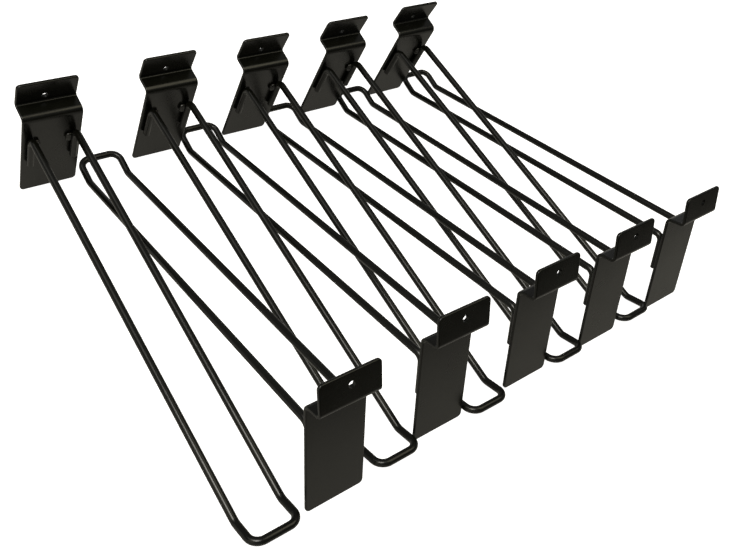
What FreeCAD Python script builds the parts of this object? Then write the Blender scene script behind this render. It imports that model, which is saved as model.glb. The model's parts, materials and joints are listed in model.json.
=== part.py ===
"""Ten steel display hooks for a slatted shop wall, laid head to tail in a row on a flat surface.

Each hook is a bent sheet backplate, a bent rod welded to its front, and the weld beads between them.
A hook is drawn in its own frame: X across the plate, the plate's front face in the plane Y = 0,
the rod reaching out along -Y and Z up the plate. It is then leant, turned and laid in the row.
"""
import FreeCAD, Part
import math
import os
import Sketcher

# Every driving size, in millimetres and degrees: (alias, value).
SIZES = [
    ("plate_width", 40.0),
    ("plate_height", 79.5),        # bottom edge to the ridge's sharp corner
    ("sheet", 2.3),
    ("ledge_depth", 12.6),         # plate's front face to the tab's front face, along the ledge
    ("ledge_rise", 1.0),           # of the ledge behind the ridge, from square to the plate
    ("tab_height", 19.2),
    ("tab_lean", 5.0),             # of the tab towards the rod
    ("ridge_bend", 2.0),           # insides of the two bends
    ("valley_bend", 1.2),
    ("plate_corner", 3.0),
    ("tab_corner", 3.0),
    ("edge_round", 0.8),           # all round the rim of both faces
    ("hole_bore", 4.5),
    ("far_hole_height", 5.4),      # above the ledge
    ("far_hole_offset", -1.4),     # from the middle of the tab
    ("near_hole_height", 11.4),
    ("near_hole_offset", -0.2),
    ("rod", 5.0),
    ("arm_spacing", 29.5),         # centre to centre
    ("arm_height", 61.3),          # root corner above the plate's bottom edge
    ("arm_rise", 4.9),             # from square to the plate
    ("arm_length", 281.8),         # root corner to kick corner
    ("leg_end", 33.8),             # the leg's lower end above the plate's bottom edge
    ("root_radius", 5.5),          # bends of the rod's centreline
    ("kick_radius", 7.0),
    ("crossbar_radius", 7.0),
    ("tip_kick", 30.0),
    ("tip_length", 19.3),          # kick corner to the crossbar's centreline
    ("bead_length", 8.0),
    ("bead_width", 5.5),
    ("bead_inset", 1.0),           # the bead's hidden edge from the leg's middle
    ("bead_depth", 3.0),
    ("row_stagger", 6.6),          # near plates beyond the far hooks' crossbars
]

# How each hook lies, far and near in turn along the row, in millimetres: its gap to the hook before it,
# its distance from the first hook of its kind across the row, and how far its crossbar lies to one side.
# The far hooks point towards -Y, and the near hooks, laid between them, point back.
ROW = [
    (0.0, 0.0, 0.0), (5.1, 0.0, 1.6),
    (6.9, 4.4, 1.6), (2.9, 6.8, 1.1),
    (1.3, 5.8, -0.5), (5.0, 8.7, 3.7),
    (-1.2, 9.9, 2.6), (4.3, 9.3, 3.7),
    (-1.1, 12.8, 4.7), (7.8, 11.7, 5.3),
]

doc = FreeCAD.newDocument("slatwall_hooks")
sheet = doc.addObject("Spreadsheet::Sheet", "sizes")
for line, (alias, value) in enumerate(SIZES, start=1):
    sheet.set(f"A{line}", alias)
    sheet.set(f"B{line}", str(value))
    sheet.setAlias(f"B{line}", alias)
doc.recompute()
size = {alias: sheet.get(alias) for alias, _ in SIZES}


def vector(across, back, up):
    return FreeCAD.Vector(across, back, up)


def origin_plane(body, role):
    return next(item for item in body.Origin.OriginFeatures if item.Role == role)


def new_sketch(body, name, role):
    sketch = body.newObject("Sketcher::SketchObject", name)
    sketch.AttachmentSupport = (origin_plane(body, role), "")
    sketch.MapMode = "FlatFace"
    return sketch


def add_line(sketch, start, end):
    return sketch.addGeometry(Part.LineSegment(vector(*start, 0), vector(*end, 0)), False)


def add_constraint(sketch, *values):
    return sketch.addConstraint(Sketcher.Constraint(*values))


def bind(sketch, expression, *values):
    """Add a dimension and tie it to the sheet."""
    index = add_constraint(sketch, *values)
    sketch.setExpression(f"Constraints[{index}]", expression)


def edges_where(shape, test):
    """Names of the edges whose middle point passes the test."""
    names = []
    for number, edge in enumerate(shape.Edges, start=1):
        middle = edge.valueAt((edge.FirstParameter + edge.LastParameter) / 2)
        if test(middle, edge):
            names.append(f"Edge{number}")
    return names


def add_fillet(body, base, name, radius, test):
    doc.recompute()
    fillet = body.newObject("PartDesign::Fillet", name)
    fillet.Base = (base, edges_where(base.Shape, test))
    fillet.setExpression("Radius", radius)
    body.Tip = fillet
    return fillet


def make_backplate(name, row):
    """One bent sheet: tall plate, ridge, ledge going back and upright tab with its row's screw hole."""
    body = doc.addObject("PartDesign::Body", name)
    rise = math.radians(size["ledge_rise"])
    lean = math.radians(size["tab_lean"])
    width, height, thick = size["plate_width"], size["plate_height"], size["sheet"]
    # Section corners as (back, up): the ridge, then the inside of the valley, then round the tab.
    ridge_outer = (0, height)
    valley_inner = (size["ledge_depth"] * math.cos(rise), height + size["ledge_depth"] * math.sin(rise))
    tab_front = (valley_inner[0] - size["tab_height"] * math.sin(lean),
                 valley_inner[1] + size["tab_height"] * math.cos(lean))
    tab_back = (tab_front[0] + thick * math.cos(lean), tab_front[1] + thick * math.sin(lean))
    # Moving both faces of the valley by one thickness moves its corner along the bisector.
    half_turn = (math.pi / 2 + lean - rise) / 2
    bisector = rise + half_turn
    reach = thick / math.sin(math.pi / 2 - half_turn)
    valley_outer = (valley_inner[0] - reach * math.cos(bisector + math.pi / 2),
                    valley_inner[1] - reach * math.sin(bisector + math.pi / 2))
    ridge_inner = (thick, valley_outer[1] - (valley_outer[0] - thick) * math.tan(rise))
    outline = [(0, 0), ridge_outer, valley_inner, tab_front, tab_back, valley_outer, ridge_inner, (thick, 0)]

    section = new_sketch(body, f"{name}_section", "YZ_Plane")
    sides = [add_line(section, start, end) for start, end in zip(outline, outline[1:] + outline[:1])]
    for side, following in zip(sides, sides[1:] + sides[:1]):
        add_constraint(section, "Coincident", side, 2, following, 1)
    front, ledge_top, tab_face, tab_top, tab_rear, ledge_under, plate_rear, foot = sides
    add_constraint(section, "Coincident", front, 1, -1, 1)
    add_constraint(section, "Vertical", front)
    add_constraint(section, "Vertical", plate_rear)
    add_constraint(section, "Horizontal", foot)
    add_constraint(section, "Perpendicular", tab_face, tab_top)
    add_constraint(section, "Parallel", tab_face, tab_rear)
    add_constraint(section, "Parallel", ledge_top, ledge_under)
    bind(section, "sizes.plate_height", "Distance", front, height)
    bind(section, "sizes.ledge_depth", "Distance", ledge_top, size["ledge_depth"])
    bind(section, "sizes.ledge_rise * 1 deg", "Angle", ledge_top, rise)
    bind(section, "sizes.tab_height", "Distance", tab_face, size["tab_height"])
    bind(section, "(90 + sizes.tab_lean) * 1 deg", "Angle", tab_face, math.pi / 2 + lean)
    bind(section, "sizes.sheet", "Distance", tab_top, thick)
    bind(section, "sizes.sheet", "Distance", foot, thick)
    bind(section, "sizes.sheet", "Distance", ledge_under, 2, ledge_top, thick)

    pad = body.newObject("PartDesign::Pad", f"{name}_pad")
    pad.Profile = section
    pad.Midplane = True
    pad.setExpression("Length", "sizes.plate_width")
    body.Tip = pad

    def bend_at(corner):
        return lambda middle, edge: (abs(middle.x) < 0.01
                                     and math.hypot(middle.y - corner[0], middle.z - corner[1]) < 0.01)

    def corner_at(*corners):
        return lambda middle, edge: any(
            abs(abs(middle.x) - width / 2) < 0.01 and edge.Length < thick * 1.01
            and math.hypot(middle.y - corner[0], middle.z - corner[1]) < thick for corner in corners)

    bent = pad
    for bend, inner_corner, outer_corner in (("valley", valley_inner, valley_outer),
                                             ("ridge", ridge_inner, ridge_outer)):
        bent = add_fillet(body, bent, f"{name}_{bend}_inside", f"sizes.{bend}_bend", bend_at(inner_corner))
        bent = add_fillet(
            body, bent, f"{name}_{bend}_outside", f"sizes.{bend}_bend + sizes.sheet", bend_at(outer_corner))
    trimmed = add_fillet(body, bent, f"{name}_tab_corners", "sizes.tab_corner", corner_at(tab_front))
    trimmed = add_fillet(body, trimmed, f"{name}_plate_corners", "sizes.plate_corner", corner_at((0, 0)))
    rounded = add_fillet(
        body, trimmed, f"{name}_edge_rounding", "sizes.edge_round",
        lambda middle, edge: (abs(middle.x) < 0.01
                              and (math.hypot(middle.y - tab_front[0], middle.z - tab_front[1]) < 0.01
                                   or math.hypot(middle.y - tab_back[0], middle.z - tab_back[1]) < 0.01)))

    hole = body.newObject("PartDesign::SubtractiveCylinder", f"{name}_hole")
    hole.AttachmentSupport = (origin_plane(body, "XY_Plane"), "")
    hole.MapMode = "FlatFace"
    hole.setExpression("Radius", "sizes.hole_bore / 2")
    hole.setExpression("Height", "sizes.sheet * 3")
    hole_height = size[f"{row}_hole_height"]
    centre = (valley_inner[0] - hole_height * math.sin(lean) - thick * math.cos(lean),
              valley_inner[1] + hole_height * math.cos(lean) - thick * math.sin(lean))
    hole.AttachmentOffset = FreeCAD.Placement(
        vector(size[f"{row}_hole_offset"], *centre),
        FreeCAD.Rotation(vector(1, 0, 0), size["tab_lean"] - 90))
    body.Tip = hole
    return body


def make_wire(name):
    """One bent rod: two legs down the plate, two long arms, kicked-up tips and the crossbar between them."""
    body = doc.addObject("PartDesign::Body", name)
    half_gap, radius = size["arm_spacing"] / 2, size["rod"] / 2
    rise = math.radians(size["arm_rise"])
    tip_rise = rise + math.radians(size["tip_kick"])
    root_radius, kick_radius = size["root_radius"], size["kick_radius"]
    # Sharp corners of the centreline as (back, up).
    root = (-radius, size["arm_height"])
    kick = (root[0] - size["arm_length"] * math.cos(rise), root[1] + size["arm_length"] * math.sin(rise))
    root_trim = root_radius * math.tan((math.pi / 2 - rise) / 2)
    kick_trim = kick_radius * math.tan((tip_rise - rise) / 2)
    leg_top = (root[0], root[1] - root_trim)
    arm_start = (root[0] - root_trim * math.cos(rise), root[1] + root_trim * math.sin(rise))
    arm_end = (kick[0] + kick_trim * math.cos(rise), kick[1] - kick_trim * math.sin(rise))
    tip_start = (kick[0] - kick_trim * math.cos(tip_rise), kick[1] + kick_trim * math.sin(tip_rise))
    tip_run = size["tip_length"] - size["crossbar_radius"]
    tip_end = (kick[0] - tip_run * math.cos(tip_rise), kick[1] + tip_run * math.sin(tip_rise))

    side = new_sketch(body, f"{name}_side_path", "YZ_Plane")
    side.setExpression("AttachmentOffset.Base.z", "-sizes.arm_spacing / 2")
    leg = add_line(side, (root[0], size["leg_end"]), leg_top)
    root_circle = Part.Circle(vector(root[0] - root_radius, leg_top[1], 0), vector(0, 0, 1), root_radius)
    root_bend = side.addGeometry(Part.ArcOfCircle(root_circle, 0, math.pi / 2 - rise), False)
    arm = add_line(side, arm_start, arm_end)
    kick_centre = vector(arm_end[0] + kick_radius * math.sin(rise), arm_end[1] + kick_radius * math.cos(rise), 0)
    kick_circle = Part.Circle(kick_centre, vector(0, 0, 1), kick_radius)
    kick_bend = side.addGeometry(
        Part.ArcOfCircle(kick_circle, 1.5 * math.pi - tip_rise, 1.5 * math.pi - rise), False)
    tip = add_line(side, tip_start, tip_end)
    root_mark = side.addGeometry(Part.Point(vector(*root, 0)), True)
    kick_mark = side.addGeometry(Part.Point(vector(*kick, 0)), True)
    add_constraint(side, "Tangent", leg, 2, root_bend, 1)
    add_constraint(side, "Tangent", root_bend, 2, arm, 1)
    add_constraint(side, "Tangent", arm, 2, kick_bend, 2)
    add_constraint(side, "Tangent", kick_bend, 1, tip, 1)
    add_constraint(side, "Vertical", leg)
    for mark, run in ((root_mark, leg), (root_mark, arm), (kick_mark, arm), (kick_mark, tip)):
        add_constraint(side, "PointOnObject", mark, 1, run)
    bind(side, "sizes.rod / 2", "DistanceX", leg, 1, -1, 1, radius)
    bind(side, "sizes.leg_end", "DistanceY", -1, 1, leg, 1, size["leg_end"])
    bind(side, "sizes.arm_height", "DistanceY", -1, 1, root_mark, 1, size["arm_height"])
    bind(side, "sizes.arm_length", "Distance", root_mark, 1, kick_mark, 1, size["arm_length"])
    bind(side, "sizes.tip_length - sizes.crossbar_radius", "Distance", kick_mark, 1, tip, 2, tip_run)
    bind(side, "(180 - sizes.arm_rise) * 1 deg", "Angle", arm, math.pi - rise)
    bind(side, "(180 - sizes.arm_rise - sizes.tip_kick) * 1 deg", "Angle", tip, math.pi - tip_rise)
    bind(side, "sizes.root_radius", "Radius", root_bend, root_radius)
    bind(side, "sizes.kick_radius", "Radius", kick_bend, kick_radius)

    leg_section = new_sketch(body, f"{name}_leg_section", "XY_Plane")
    leg_section.setExpression("AttachmentOffset.Base.z", "sizes.leg_end")
    circle = leg_section.addGeometry(Part.Circle(vector(-half_gap, -radius, 0), vector(0, 0, 1), radius), False)
    bind(leg_section, "sizes.rod / 2", "Radius", circle, radius)
    bind(leg_section, "sizes.arm_spacing / 2", "DistanceX", circle, 3, -1, 1, half_gap)
    bind(leg_section, "sizes.rod / 2", "DistanceY", circle, 3, -1, 1, radius)
    doc.recompute()
    side_pipe = body.newObject("PartDesign::AdditivePipe", f"{name}_side")
    side_pipe.Profile = leg_section
    side_pipe.Spine = side
    body.Tip = side_pipe
    doc.recompute()

    # The crossbar lies in the plane of the kicked-up tips, whose Y axis points back down the tip.
    bar_radius = size["crossbar_radius"]
    bar = new_sketch(body, f"{name}_crossbar_path", "XY_Plane")
    bar.AttachmentOffset = FreeCAD.Placement(
        vector(0, *kick), FreeCAD.Rotation(vector(1, 0, 0), -math.degrees(tip_rise)))
    half_bar = add_line(bar, (0, -size["tip_length"]), (bar_radius - half_gap, -size["tip_length"]))
    corner_circle = Part.Circle(vector(bar_radius - half_gap, -tip_run, 0), vector(0, 0, 1), bar_radius)
    corner = bar.addGeometry(Part.ArcOfCircle(corner_circle, math.pi, 1.5 * math.pi), False)
    add_constraint(bar, "Tangent", half_bar, 2, corner, 2)
    add_constraint(bar, "Horizontal", half_bar)
    add_constraint(bar, "Horizontal", corner, 3, corner, 1)
    add_constraint(bar, "PointOnObject", half_bar, 1, -2)
    bind(bar, "sizes.tip_length", "DistanceY", half_bar, 1, -1, 1, size["tip_length"])
    bind(bar, "sizes.arm_spacing / 2", "DistanceX", corner, 1, -1, 1, half_gap)
    bind(bar, "sizes.crossbar_radius", "Radius", corner, bar_radius)

    bar_section = new_sketch(body, f"{name}_crossbar_section", "YZ_Plane")
    bar_centre = (kick[0] - size["tip_length"] * math.cos(tip_rise),
                  kick[1] + size["tip_length"] * math.sin(tip_rise))
    ring = bar_section.addGeometry(Part.Circle(vector(*bar_centre, 0), vector(0, 0, 1), radius), False)
    arm_angle = "sizes.arm_rise * 1 deg"
    tip_angle = "(sizes.arm_rise + sizes.tip_kick) * 1 deg"
    bind(bar_section, "sizes.rod / 2", "Radius", ring, radius)
    bind(bar_section, f"sizes.rod / 2 + sizes.arm_length * cos({arm_angle}) + sizes.tip_length * cos({tip_angle})",
         "DistanceX", ring, 3, -1, 1, -bar_centre[0])
    bind(bar_section, f"sizes.arm_height + sizes.arm_length * sin({arm_angle}) + sizes.tip_length * sin({tip_angle})",
         "DistanceY", -1, 1, ring, 3, bar_centre[1])
    doc.recompute()
    bar_pipe = body.newObject("PartDesign::AdditivePipe", f"{name}_crossbar")
    bar_pipe.Profile = bar_section
    bar_pipe.Spine = bar
    body.Tip = bar_pipe
    doc.recompute()

    mirrored = body.newObject("PartDesign::Mirrored", f"{name}_other_side")
    mirrored.Originals = [side_pipe, bar_pipe]
    mirrored.MirrorPlane = (origin_plane(body, "YZ_Plane"), [""])
    body.Tip = mirrored
    return body


def make_welds(name):
    """Two beads, each in the corner between a leg's inner side and the plate, just under the root bend."""
    radius = size["rod"] / 2
    half_gap = size["arm_spacing"] / 2
    rise = math.radians(size["arm_rise"])
    leg_top = size["arm_height"] - size["root_radius"] * math.tan((math.pi / 2 - rise) / 2)
    beads = []
    for side, label in ((-1, "left"), (1, "right")):
        lump = doc.addObject("Part::Ellipsoid", f"{name}_{label}_lump")
        lump.setExpression("Radius1", "sizes.bead_length / 2")
        lump.setExpression("Radius2", "sizes.bead_width / 2")
        lump.setExpression("Radius3", "sizes.bead_depth")
        inset = half_gap - size["bead_inset"] - size["bead_width"] / 2
        lump.Placement.Base = vector(side * inset, 0, leg_top - size["bead_length"] / 4)
        leg = doc.addObject("Part::Cylinder", f"{name}_{label}_leg")
        leg.setExpression("Radius", "sizes.rod / 2")
        leg.setExpression("Height", "sizes.bead_length * 2")
        leg.Placement.Base = vector(side * half_gap, -radius, leg_top - size["bead_length"] * 1.25)
        plate = doc.addObject("Part::Box", f"{name}_{label}_plate")
        plate.setExpression("Length", "sizes.plate_width")
        plate.setExpression("Width", "sizes.bead_depth * 2")
        plate.setExpression("Height", "sizes.bead_length * 2")
        plate.Placement.Base = vector(-size["plate_width"] / 2, 0, leg_top - size["bead_length"] * 1.25)
        clear_of_leg = doc.addObject("Part::Cut", f"{name}_{label}_clear_of_leg")
        clear_of_leg.Base = lump
        clear_of_leg.Tool = leg
        bead = doc.addObject("Part::Cut", f"{name}_{label}_bead")
        bead.Base = clear_of_leg
        bead.Tool = plate
        beads.append(bead)
    pair = doc.addObject("Part::Compound", name)
    pair.Links = beads
    return pair


def resting_lean():
    """The angle a hook leans towards its rod when it stands on the plate's foot and the kick bends."""
    rise, half_kick = math.radians(size["arm_rise"]), math.radians(size["tip_kick"] / 2)
    forward = size["rod"] / 2 + size["arm_length"] * math.cos(rise)
    up = size["arm_height"] + size["arm_length"] * math.sin(rise)
    offset = size["kick_radius"] / math.cos(half_kick)
    forward -= offset * math.sin(rise + half_kick)
    up += offset * math.cos(rise + half_kick)
    lowest = size["kick_radius"] + size["rod"] / 2
    return math.degrees(math.atan2(up, forward) - math.asin(lowest / math.hypot(forward, up)))


def laid(along, across, turn, lean):
    flat = FreeCAD.Rotation(vector(0, 0, 1), turn)
    return FreeCAD.Placement(vector(along, across, 0), flat * FreeCAD.Rotation(vector(1, 0, 0), lean))


lean = resting_lean()
step = (size["plate_width"] + size["arm_spacing"] + size["rod"]) / 2
reach = size["arm_length"] + size["tip_length"]
along = 0
placements = []
for number, (gap, across, sideways) in enumerate(ROW):
    near = number % 2
    along += step + gap
    turn = math.degrees(math.atan2(sideways, reach)) + 180 * near
    placements.append(laid(along, across - near * (reach + size["row_stagger"]), turn, lean))

parts = []
for number, placement in enumerate(placements, start=1):
    name = f"hook_{number:02d}"
    row = "far" if number % 2 else "near"
    for part in (make_backplate(f"{name}_backplate", row), make_wire(f"{name}_wire"), make_welds(f"{name}_welds")):
        part.Label = part.Name
        part.Placement = placement
        parts.append(part)
doc.recompute()

# The origin is the middle of the row's footprint, on the surface it stands on.
footprint = FreeCAD.BoundBox()
for part in parts:
    footprint.add(part.Shape.optimalBoundingBox(False))
middle = vector(footprint.Center.x, footprint.Center.y, footprint.ZMin)
for part in parts:
    part.Placement.Base = part.Placement.Base - middle
doc.recompute()

faults = [item.Name for item in doc.Objects if "Invalid" in item.State or "Error" in item.State]
faults += [part.Name for part in parts if part.Shape.isNull() or not part.Shape.isValid()]
if faults:
    raise RuntimeError(f"Failed objects: {faults}")

os.makedirs("parts", exist_ok=True)
for part in parts:
    part.Shape.exportStep(f"parts/{part.Label}.step")
    print(part.Label, round(part.Shape.Volume, 1), len(part.Shape.Solids))
print("lean", round(lean, 3), "row", footprint, "middle", middle)
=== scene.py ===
"""Looks for a row of ten black powder-coated slatwall hooks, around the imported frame."""
import bpy
import json
import math
import random
from mathutils import Matrix, Vector

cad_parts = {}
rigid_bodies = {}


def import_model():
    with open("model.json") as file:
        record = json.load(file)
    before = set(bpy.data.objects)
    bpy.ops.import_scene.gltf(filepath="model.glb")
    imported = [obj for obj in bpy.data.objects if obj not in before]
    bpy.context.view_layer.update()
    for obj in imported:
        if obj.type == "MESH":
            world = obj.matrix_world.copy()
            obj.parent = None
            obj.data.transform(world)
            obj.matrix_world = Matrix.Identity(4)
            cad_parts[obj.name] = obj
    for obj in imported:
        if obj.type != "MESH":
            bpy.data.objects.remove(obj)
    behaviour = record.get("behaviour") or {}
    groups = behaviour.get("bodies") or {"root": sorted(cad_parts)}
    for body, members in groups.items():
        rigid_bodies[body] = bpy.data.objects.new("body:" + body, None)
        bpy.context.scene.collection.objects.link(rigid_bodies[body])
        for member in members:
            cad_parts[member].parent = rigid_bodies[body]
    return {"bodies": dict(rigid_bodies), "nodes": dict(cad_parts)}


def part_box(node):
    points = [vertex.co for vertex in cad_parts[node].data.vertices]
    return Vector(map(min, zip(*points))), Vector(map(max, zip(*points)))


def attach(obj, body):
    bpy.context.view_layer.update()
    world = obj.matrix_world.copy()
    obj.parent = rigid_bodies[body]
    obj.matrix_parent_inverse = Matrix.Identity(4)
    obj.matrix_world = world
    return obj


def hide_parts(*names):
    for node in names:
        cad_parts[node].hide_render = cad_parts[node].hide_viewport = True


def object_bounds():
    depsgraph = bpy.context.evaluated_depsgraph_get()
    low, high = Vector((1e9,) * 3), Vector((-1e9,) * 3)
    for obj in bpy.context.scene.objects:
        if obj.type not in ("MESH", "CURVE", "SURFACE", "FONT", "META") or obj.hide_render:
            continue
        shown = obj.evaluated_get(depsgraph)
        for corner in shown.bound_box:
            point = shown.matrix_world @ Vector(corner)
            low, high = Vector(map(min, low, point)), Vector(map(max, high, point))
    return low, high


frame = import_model()
cad_low, cad_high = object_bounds()

MM = 0.001

# The bead left by the welding torch in the corner between a leg and the plate.
BEAD_RIPPLES = 5
RIPPLE_SEGMENTS = 20                   # round a ripple
RIPPLE_RINGS = 12                      # from one end of a ripple to the other
RIPPLE_SPAN = 0.72                     # of the bead's length, over which the ripples' middles are spread
RIPPLE_SHARES = (0.20, 0.50, 0.52)     # a ripple's radii along, across and out, of the bead's lengths
RIPPLE_CUT = 0.35                      # of its radius behind a ripple's middle, where it is cut off
RIPPLE_JITTER = 0.16                   # of a ripple's radius
RIPPLE_TAPER = 0.55                    # lost from the middle ripple to the ends
BEAD_VOXEL = 0.26 * MM
LUMP_SIZE = 1.1 * MM                   # coarse roughness of the frozen metal under the coat
LUMP_HEIGHT = 0.20 * MM

# The table, in metres, as the eye sees it and as the coat mirrors it.
TABLE_SIZE = 8.0
TABLE_DROP = 0.05 * MM                 # below the hooks, so that their undersides stay clear of it
TABLE_FADE = 0.24                      # from the row to where the mirrored table is dark
FADED_SHARE = 0.1                      # of its glow that the mirrored table keeps there
BLACK = (0.0, 0.0, 0.0)
PLAIN_PAINT = (0.8, 0.8, 0.8)
PLAIN_GLOW = (0.95, 0.95, 0.95)
MIRRORED_PAINT = (0.18, 0.175, 0.16)
MIRRORED_GLOW = (0.265, 0.255, 0.225)

# The room, as the coat mirrors it. Heights run from -1 straight down to 1 straight up.
CEILING_HEIGHTS = (-0.1, 1.0)
CEILING_GLOWS = (0.02, 0.22)
WALL_HEIGHTS = (0.12, 0.34)            # where the band of wall starts to fade, and where it ends
WALL_GLOW = 0.45
DARK_SIDE = (0.52, -0.85, 0.0)         # the way to the room's dark side
DARK_EDGES = (0.45, 0.85)              # cosines to that way, where the wall starts to fade and is gone

NEAR_WHITE = (1.0, 0.97, 0.88)         # the soft boxes' colours
STRAW = (1.0, 0.93, 0.66)

# A soft box's name, the way to it, its distance and size in metres, its power in watts and its colour.
SOFT_BOXES = (
    ("key_box", (-0.62, -0.20, 1.0), 1.2, 0.54, 8.2, NEAR_WHITE),
    ("top_box", (-0.62, 0.24, 1.0), 1.2, 0.80, 1.5, NEAR_WHITE),
    ("fill_box", (0.40, -0.28, 0.95), 1.4, 0.90, 3.9, STRAW),
    ("side_box", (-1.0, -0.20, 0.45), 1.4, 0.80, 1.2, STRAW),
)

CAMERA_PLACE = Vector((-0.3341, -0.3079, 0.4143))
FILM_WIDTH = 36.0


# ------------------------------------------------------------------ materials

def add_node(tree, kind, **settings):
    node = tree.nodes.new(kind)
    for name, value in settings.items():
        setattr(node, name, value)
    return node


def set_inputs(node, **values):
    """Set input sockets by name, with underscores for spaces."""
    for name, value in values.items():
        node.inputs[name.replace("_", " ")].default_value = value


def new_group(name, inputs, outputs):
    """A shader node group with named sockets: each a (name, kind, default)."""
    group = bpy.data.node_groups.new(name, "ShaderNodeTree")
    for socket, kind, default in inputs:
        made = group.interface.new_socket(socket, in_out="INPUT", socket_type=kind)
        if default is not None:
            made.default_value = default
    for socket, kind in outputs:
        group.interface.new_socket(socket, in_out="OUTPUT", socket_type=kind)
    return group, group.nodes.new("NodeGroupInput"), group.nodes.new("NodeGroupOutput")


def powder_grain_group():
    """The pebbled skin of baked powder: a soft orange peel with a finer grain on it, as a height."""
    group, given, out = new_group(
        "powder_grain",
        [("Vector", "NodeSocketVector", None),
         ("Peel Size", "NodeSocketFloat", 1.2 * MM),
         ("Grain Size", "NodeSocketFloat", 0.35 * MM),
         ("Grain Share", "NodeSocketFloat", 0.4)],
        [("Height", "NodeSocketFloat"), ("Grain", "NodeSocketFloat")])
    links = group.links
    layers = []
    for socket, detail in (("Peel Size", 1.0), ("Grain Size", 2.0)):
        scale = add_node(group, "ShaderNodeMath", operation="DIVIDE")
        scale.inputs[0].default_value = 1.0
        noise = add_node(group, "ShaderNodeTexNoise")
        set_inputs(noise, Detail=detail, Roughness=0.45)
        links.new(given.outputs[socket], scale.inputs[1])
        links.new(given.outputs["Vector"], noise.inputs["Vector"])
        links.new(scale.outputs[0], noise.inputs["Scale"])
        layers.append(noise.outputs["Fac"])
    mix = add_node(group, "ShaderNodeMix", data_type="FLOAT")
    links.new(given.outputs["Grain Share"], mix.inputs["Factor"])
    links.new(layers[0], mix.inputs[2])
    links.new(layers[1], mix.inputs[3])
    links.new(mix.outputs[0], out.inputs["Height"])
    links.new(layers[1], out.inputs["Grain"])
    return group


def handling_group():
    """Broad patches where hands and packing have rubbed the coat smoother, as a mask from 0 to 1."""
    group, given, out = new_group(
        "handling",
        [("Vector", "NodeSocketVector", None),
         ("Patch Size", "NodeSocketFloat", 30 * MM),
         ("Spread", "NodeSocketFloat", 0.2)],
        [("Mask", "NodeSocketFloat")])
    links = group.links
    scale = add_node(group, "ShaderNodeMath", operation="DIVIDE")
    scale.inputs[0].default_value = 1.0
    noise = add_node(group, "ShaderNodeTexNoise")
    set_inputs(noise, Detail=4.0, Roughness=0.6, Distortion=0.4)
    low = add_node(group, "ShaderNodeMath", operation="SUBTRACT")
    high = add_node(group, "ShaderNodeMath", operation="ADD")
    low.inputs[0].default_value = 0.5
    high.inputs[0].default_value = 0.5
    ramp = add_node(group, "ShaderNodeMapRange", interpolation_type="SMOOTHSTEP")
    links.new(given.outputs["Patch Size"], scale.inputs[1])
    links.new(given.outputs["Vector"], noise.inputs["Vector"])
    links.new(scale.outputs[0], noise.inputs["Scale"])
    for limit, socket in ((low, "From Min"), (high, "From Max")):
        links.new(given.outputs["Spread"], limit.inputs[1])
        links.new(limit.outputs[0], ramp.inputs[socket])
    links.new(noise.outputs["Fac"], ramp.inputs["Value"])
    links.new(ramp.outputs["Result"], out.inputs["Mask"])
    return group


GRAIN = powder_grain_group()
HANDLING = handling_group()


def powder_coat(name, deep, pale, smooth, rough, peel, grain, share, bump, patch, gloss):
    """Black polyester powder, baked on: colour and roughness drift a little, and the skin is pebbled."""
    material = bpy.data.materials.new(name)
    material.use_nodes = True
    tree = material.node_tree
    links = tree.links
    shader = tree.nodes["Principled BSDF"]
    place = add_node(tree, "ShaderNodeTexCoord")
    skin = add_node(tree, "ShaderNodeGroup", node_tree=GRAIN)
    skin.inputs["Peel Size"].default_value = peel
    skin.inputs["Grain Size"].default_value = grain
    skin.inputs["Grain Share"].default_value = share
    rubbed = add_node(tree, "ShaderNodeGroup", node_tree=HANDLING)
    rubbed.inputs["Patch Size"].default_value = patch
    for group in (skin, rubbed):
        links.new(place.outputs["Object"], group.inputs["Vector"])

    tint = add_node(tree, "ShaderNodeMix", data_type="RGBA")
    tint.inputs[6].default_value = (*deep, 1.0)
    tint.inputs[7].default_value = (*pale, 1.0)
    links.new(skin.outputs["Grain"], tint.inputs["Factor"])
    links.new(tint.outputs[2], shader.inputs["Base Color"])

    sheen = add_node(tree, "ShaderNodeMapRange")
    set_inputs(sheen, To_Min=rough, To_Max=smooth)
    links.new(rubbed.outputs["Mask"], sheen.inputs["Value"])
    links.new(sheen.outputs["Result"], shader.inputs["Roughness"])

    relief = add_node(tree, "ShaderNodeBump")
    set_inputs(relief, Strength=1.0, Distance=bump)
    links.new(skin.outputs["Height"], relief.inputs["Height"])
    links.new(relief.outputs["Normal"], shader.inputs["Normal"])
    shader.inputs["IOR"].default_value = 1.5
    shader.inputs["Specular IOR Level"].default_value = gloss
    return material


plate_coat = powder_coat("plate_powder_coat",
                         deep=(0.0017, 0.0018, 0.0010), pale=(0.0038, 0.0040, 0.0023), smooth=0.20,
                         rough=0.28, peel=1.6 * MM, grain=0.4 * MM, share=0.35, bump=0.014 * MM,
                         patch=26 * MM, gloss=0.4)
rod_coat = powder_coat("rod_powder_coat",
                       deep=(0.0020, 0.0020, 0.0013), pale=(0.0042, 0.0043, 0.0027), smooth=0.18,
                       rough=0.27, peel=1.3 * MM, grain=0.35 * MM, share=0.35, bump=0.015 * MM,
                       patch=18 * MM, gloss=0.4)
weld_coat = powder_coat("weld_powder_coat",
                        deep=(0.0030, 0.0029, 0.0026), pale=(0.0085, 0.0075, 0.0058), smooth=0.16,
                        rough=0.30, peel=0.8 * MM, grain=0.25 * MM, share=0.5, bump=0.030 * MM,
                        patch=4 * MM, gloss=0.5)


# ------------------------------------------------------------------ weld beads

def deselect():
    bpy.ops.object.select_all(action="DESELECT")


def bead_points(node):
    """Where the two beads of a hook are: the corners of each CAD lump, parted by the hook's middle."""
    low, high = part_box(node)
    corners = [vertex.co for vertex in frame["nodes"][node].data.vertices]
    middle = (low.x + high.x) / 2
    return [[c for c in corners if c.x < middle], [c for c in corners if c.x > middle]]


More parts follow.
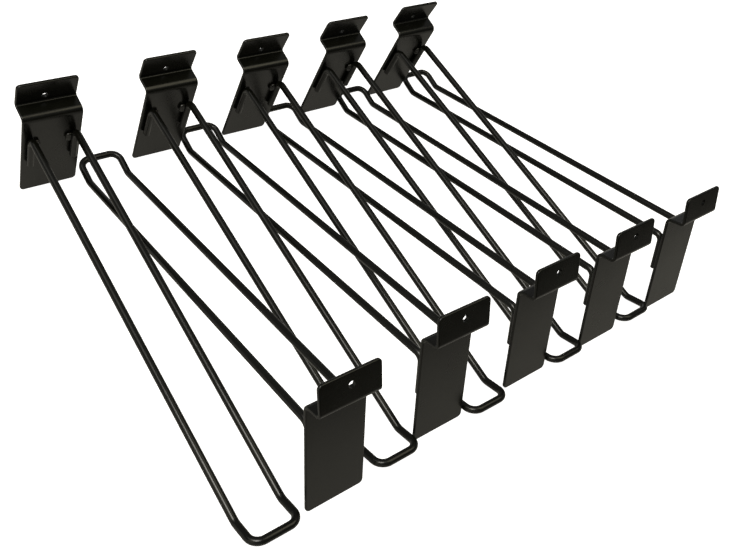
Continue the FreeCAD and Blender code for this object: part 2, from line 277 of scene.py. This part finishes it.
def bead_axes(points, front):
    """The bead's own axes: up its run, across it, and out from the plate."""
    foot = min(points, key=lambda c: c.z)
    top = max(points, key=lambda c: c.z)
    run = (top - foot).normalized()
    across = run.cross(front).normalized()
    return run, across, across.cross(run)


def spread(points, axis):
    """The middle of the points along an axis, and how far they reach along it."""
    along = [c.dot(axis) for c in points]
    return (min(along) + max(along)) / 2, max(along) - min(along)


def add_ripple(centre, axes, radii):
    """One frozen ripple: a ball pressed to the bead's section, cut off square where the next one froze."""
    turn = Matrix(axes).transposed()
    deselect()
    bpy.ops.mesh.primitive_uv_sphere_add(segments=RIPPLE_SEGMENTS, ring_count=RIPPLE_RINGS, radius=1.0,
                                         location=centre, rotation=turn.to_euler(), scale=radii)
    ripple = bpy.context.object
    bpy.ops.object.transform_apply(location=True, rotation=True, scale=True)
    bpy.ops.object.mode_set(mode="EDIT")
    bpy.ops.mesh.select_all(action="SELECT")
    bpy.ops.mesh.bisect(plane_co=centre - axes[0] * radii[0] * RIPPLE_CUT, plane_no=axes[0],
                        use_fill=True, clear_inner=True)
    bpy.ops.object.mode_set(mode="OBJECT")
    return ripple


def lay_bead(points, front, dice):
    """A short run of overlapping ripples up the space of a CAD bead, none quite the size of the last."""
    axes = bead_axes(points, front)
    middles, lengths = zip(*(spread(points, axis) for axis in axes))
    middle = sum((axis * place for axis, place in zip(axes, middles)), Vector())
    ripples = []
    for step in range(BEAD_RIPPLES):
        share = (step + 0.5) / BEAD_RIPPLES - 0.5
        size = 1.0 + RIPPLE_JITTER * dice.uniform(-1, 1) - RIPPLE_TAPER * abs(share)
        radii = [length * part * size for length, part in zip(lengths, RIPPLE_SHARES)]
        ripples.append(add_ripple(middle + axes[0] * (share * lengths[0] * RIPPLE_SPAN), axes, radii))
    return ripples


def freeze_beads(ripples, name):
    """Melt the ripples into one closed skin and roughen it a little."""
    deselect()
    for ripple in ripples:
        ripple.select_set(True)
    bpy.context.view_layer.objects.active = ripples[0]
    bpy.ops.object.join()
    beads = bpy.context.object
    beads.name = beads.data.name = name
    melt = beads.modifiers.new("melt", "REMESH")
    melt.mode = "VOXEL"
    melt.voxel_size = BEAD_VOXEL
    melt.use_smooth_shade = True
    bpy.ops.object.modifier_apply(modifier="melt")
    lumps = bpy.data.textures.new(f"{name}_lumps", "CLOUDS")
    lumps.noise_scale = LUMP_SIZE
    lumps.noise_depth = 2
    roughen = beads.modifiers.new("roughen", "DISPLACE")
    roughen.texture = lumps
    roughen.texture_coords = "LOCAL"
    roughen.strength = LUMP_HEIGHT
    roughen.mid_level = 0.5
    bpy.ops.object.modifier_apply(modifier="roughen")
    bpy.ops.object.shade_smooth()
    beads.data.materials.clear()
    beads.data.materials.append(weld_coat)
    return beads


def plate_front(body):
    """The way a plate's front faces, level: from the plate towards its rod."""
    plate_low, plate_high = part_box(f"{body}_backplate")
    rod_low, rod_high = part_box(f"{body}_wire")
    return Vector((0, math.copysign(1, (rod_low + rod_high - plate_low - plate_high).y), 0))


for number, body in enumerate(sorted(frame["bodies"])):
    dice = random.Random(number)
    front = plate_front(body)
    ripples = []
    for points in bead_points(f"{body}_welds"):
        ripples += lay_bead(points, front, dice)
    beads = freeze_beads(ripples, f"{body}_weld_beads")
    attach(beads, body)
    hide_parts(f"{body}_welds")


# ------------------------------------------------------------------ coats on the CAD nodes

for name, node in frame["nodes"].items():
    coat = rod_coat if name.endswith("_wire") else plate_coat
    for slot in node.material_slots:
        slot.material = coat


# ------------------------------------------------------------------ table, light and camera

def add_fade(tree, value, limits, results):
    """A soft change from one result to another, as a value goes from its first limit to its last."""
    fade = add_node(tree, "ShaderNodeMapRange", interpolation_type="SMOOTHSTEP")
    set_inputs(fade, From_Min=limits[0], From_Max=limits[1], To_Min=results[0], To_Max=results[1])
    tree.links.new(value, fade.inputs["Value"])
    return fade.outputs["Result"]


def pale_table():
    """A pale glowing table. Reflections see it fade towards the front, where the light doesn't reach."""
    material = bpy.data.materials.new("pale_table")
    material.use_nodes = True
    tree = material.node_tree
    shader = tree.nodes["Principled BSDF"]
    shader.inputs["Roughness"].default_value = 0.9
    shader.inputs["Specular IOR Level"].default_value = 0.1
    place = add_node(tree, "ShaderNodeTexCoord")
    axes = add_node(tree, "ShaderNodeSeparateXYZ")
    fade = add_fade(tree, axes.outputs["Y"], (cad_low.y - TABLE_FADE, cad_low.y), (FADED_SHARE, 1.0))
    seen = add_node(tree, "ShaderNodeLightPath")
    tree.links.new(place.outputs["Object"], axes.inputs[0])
    for socket, mirrored, plain in (("Base Color", MIRRORED_PAINT, PLAIN_PAINT),
                                    ("Emission Color", MIRRORED_GLOW, PLAIN_GLOW)):
        faded = add_node(tree, "ShaderNodeMix", data_type="RGBA")
        faded.inputs[6].default_value = (*BLACK, 1.0)
        faded.inputs[7].default_value = (*mirrored, 1.0)
        shown = add_node(tree, "ShaderNodeMix", data_type="RGBA")
        shown.inputs[7].default_value = (*plain, 1.0)
        tree.links.new(fade, faded.inputs["Factor"])
        tree.links.new(seen.outputs["Is Camera Ray"], shown.inputs["Factor"])
        tree.links.new(faded.outputs[2], shown.inputs[6])
        tree.links.new(shown.outputs[2], shader.inputs[socket])
    shader.inputs["Emission Strength"].default_value = 1.0
    deselect()
    bpy.ops.mesh.primitive_plane_add(size=TABLE_SIZE, location=(0, 0, -TABLE_DROP))
    table = bpy.context.object
    table.name = "table"
    table.data.materials.append(material)


def soft_light(name, direction, distance, size, power, color, aim):
    """A square soft box of a size in metres and a power in watts, a distance away and aimed at a point."""
    data = bpy.data.lights.new(name, "AREA")
    data.color = color
    data.shape = "SQUARE"
    data.size = size
    data.energy = power
    light = bpy.data.objects.new(name, data)
    bpy.context.scene.collection.objects.link(light)
    towards = Vector(direction).normalized()
    light.location = aim + towards * distance
    light.rotation_euler = (-towards).to_track_quat("-Z", "Y").to_euler()


def pale_world():
    """Pale to the eye. The coat mirrors a dim room, with a band of paler wall round it but for one side."""
    world = bpy.data.worlds.new("studio")
    world.use_nodes = True
    tree = world.node_tree
    links = tree.links
    background = tree.nodes["Background"]
    place = add_node(tree, "ShaderNodeTexCoord")
    axes = add_node(tree, "ShaderNodeSeparateXYZ")
    links.new(place.outputs["Generated"], axes.inputs[0])
    ceiling = add_fade(tree, axes.outputs["Z"], CEILING_HEIGHTS, CEILING_GLOWS)
    wall = add_fade(tree, axes.outputs["Z"], WALL_HEIGHTS, (WALL_GLOW, 0.0))
    facing = add_node(tree, "ShaderNodeVectorMath", operation="DOT_PRODUCT")
    facing.inputs[1].default_value = DARK_SIDE
    links.new(place.outputs["Generated"], facing.inputs[0])
    opening = add_fade(tree, facing.outputs["Value"], DARK_EDGES, (1.0, 0.0))
    room = add_node(tree, "ShaderNodeMath", operation="MULTIPLY_ADD")
    links.new(wall, room.inputs[0])
    links.new(opening, room.inputs[1])
    links.new(ceiling, room.inputs[2])
    seen = add_node(tree, "ShaderNodeLightPath")
    level = add_node(tree, "ShaderNodeMix", data_type="FLOAT")
    level.inputs[3].default_value = 1.0
    links.new(seen.outputs["Is Camera Ray"], level.inputs["Factor"])
    links.new(room.outputs[0], level.inputs[2])
    links.new(level.outputs[0], background.inputs["Strength"])
    background.inputs["Color"].default_value = (1.0, 1.0, 1.0, 1.0)
    bpy.context.scene.world = world


def add_camera(place, azimuth, elevation, roll, lens):
    """A camera at a place, turned by an azimuth from +Y towards +X and down by an elevation, in degrees."""
    azimuth, elevation, roll = map(math.radians, (azimuth, elevation, roll))
    ahead = Vector((math.sin(azimuth) * math.cos(elevation), math.cos(azimuth) * math.cos(elevation),
                    -math.sin(elevation)))
    level = Vector((math.cos(azimuth), -math.sin(azimuth), 0))
    above = level.cross(ahead)
    right = level * math.cos(roll) + above * math.sin(roll)
    up = above * math.cos(roll) - level * math.sin(roll)
    data = bpy.data.cameras.new("camera")
    data.lens = lens
    data.sensor_width = FILM_WIDTH
    camera = bpy.data.objects.new("camera", data)
    bpy.context.scene.collection.objects.link(camera)
    turn = Matrix((right, up, -ahead)).transposed().to_4x4()
    camera.matrix_world = Matrix.Translation(place) @ turn
    bpy.context.scene.camera = camera


centre = (cad_low + cad_high) / 2
pale_table()
pale_world()
for box in SOFT_BOXES:
    soft_light(*box, aim=centre)
add_camera(CAMERA_PLACE, azimuth=48.07, elevation=44.43, roll=16.87, lens=40.05)
bpy.context.scene.view_settings.view_transform = "Standard"
